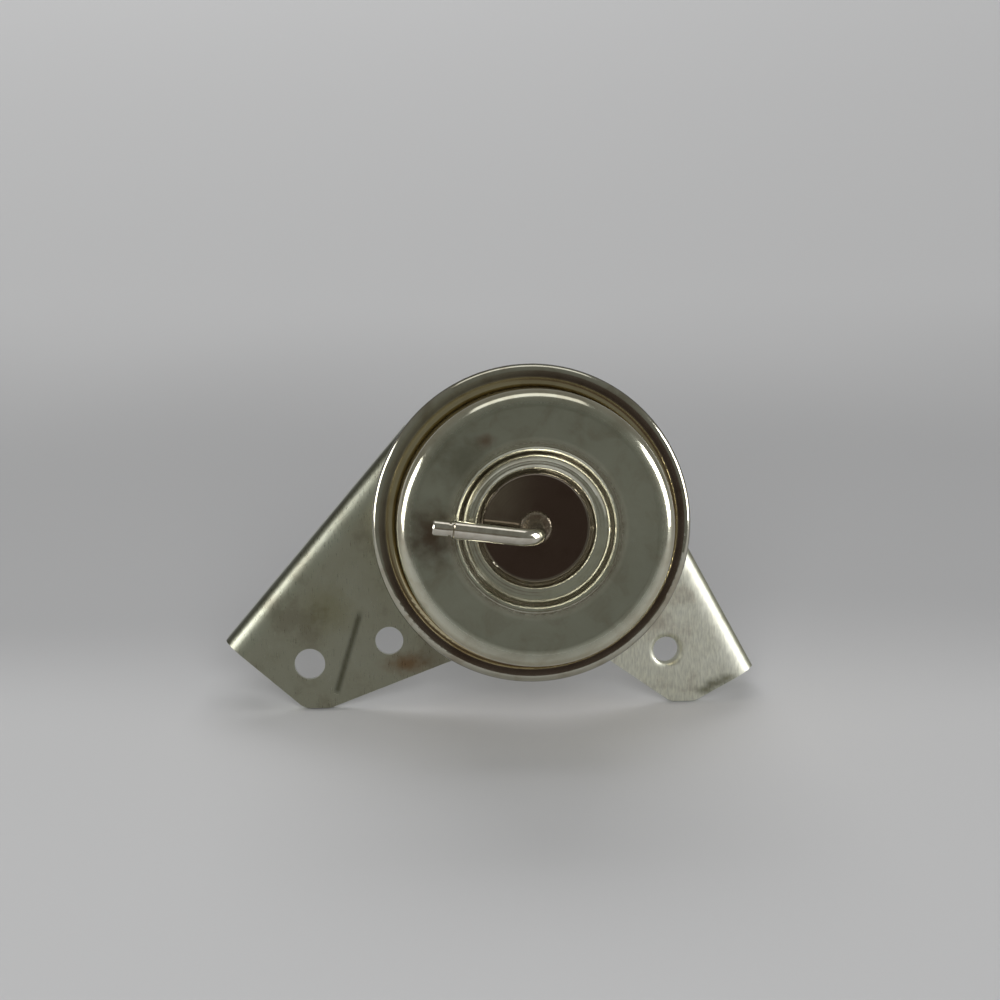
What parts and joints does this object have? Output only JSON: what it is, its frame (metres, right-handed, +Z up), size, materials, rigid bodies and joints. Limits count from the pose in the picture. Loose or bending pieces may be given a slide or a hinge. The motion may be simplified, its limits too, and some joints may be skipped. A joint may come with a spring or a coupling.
{
  "type": "turbocharger vacuum actuator",
  "caption": "Crimped round can with a bent vacuum nipple, on a folded sheet bracket, with a sprung rod that slides out of its back to an eye.",
  "frame": {"origin": "middle of the base of the whole part as it stands by itself on the bracket's two feet and the rod's eye", "axes": "+Z up; +Y from the dome towards the rod's eye, level; +X to the right as seen from the dome. The can's axis is leaned 17.38 degrees about X, dome up"},
  "size_m": [0.1214, 0.1588, 0.0795],
  "materials": {
    "can": "bright plated deep-drawn steel, satin",
    "bracket": "plated rolled sheet, fine straight grain",
    "tube": "bright nickel plated tube",
    "fastener": "zinc plated, dull",
    "rod": "zinc plated, drawn",
    "rubber": "moulded rubber, matt",
    "spring": "oil tempered spring wire",
    "bush": "sintered bronze, matt",
    "piston": "pressed steel, as drawn",
    "forged": "forged steel, zinc plated"
  },
  "bodies": {
    "housing": {"upper_cover": "can", "lower_cover": "can", "vacuum_nipple": "tube", "nipple_collar": "tube", "diaphragm": "rubber", "rest_bumper": "rubber", "return_spring": "spring", "guide_bush": "bush", "wiper_ring": "rubber", "bush_retainer": "piston", "bracket": "bracket", "cover_studs": "fastener", "stud_washers": "fastener", "stud_nuts": "fastener"},
    "rod": {"actuator_rod": "rod", "piston_cup": "piston", "support_plate": "piston", "clamp_washer": "piston", "lock_nut": "fastener", "rod_end": "forged", "eye_bush": "piston"}
  },
  "joints": [
    {"name": "rod_slide", "type": "slide", "parent": "housing", "child": "rod", "axis": [0, -0.9543, 0.2988], "range_m": [0, 0.012], "stiffness_N_per_m": 1200, "springref_m": -0.018, "deforming": ["return_spring", "diaphragm"]}
  ]
}
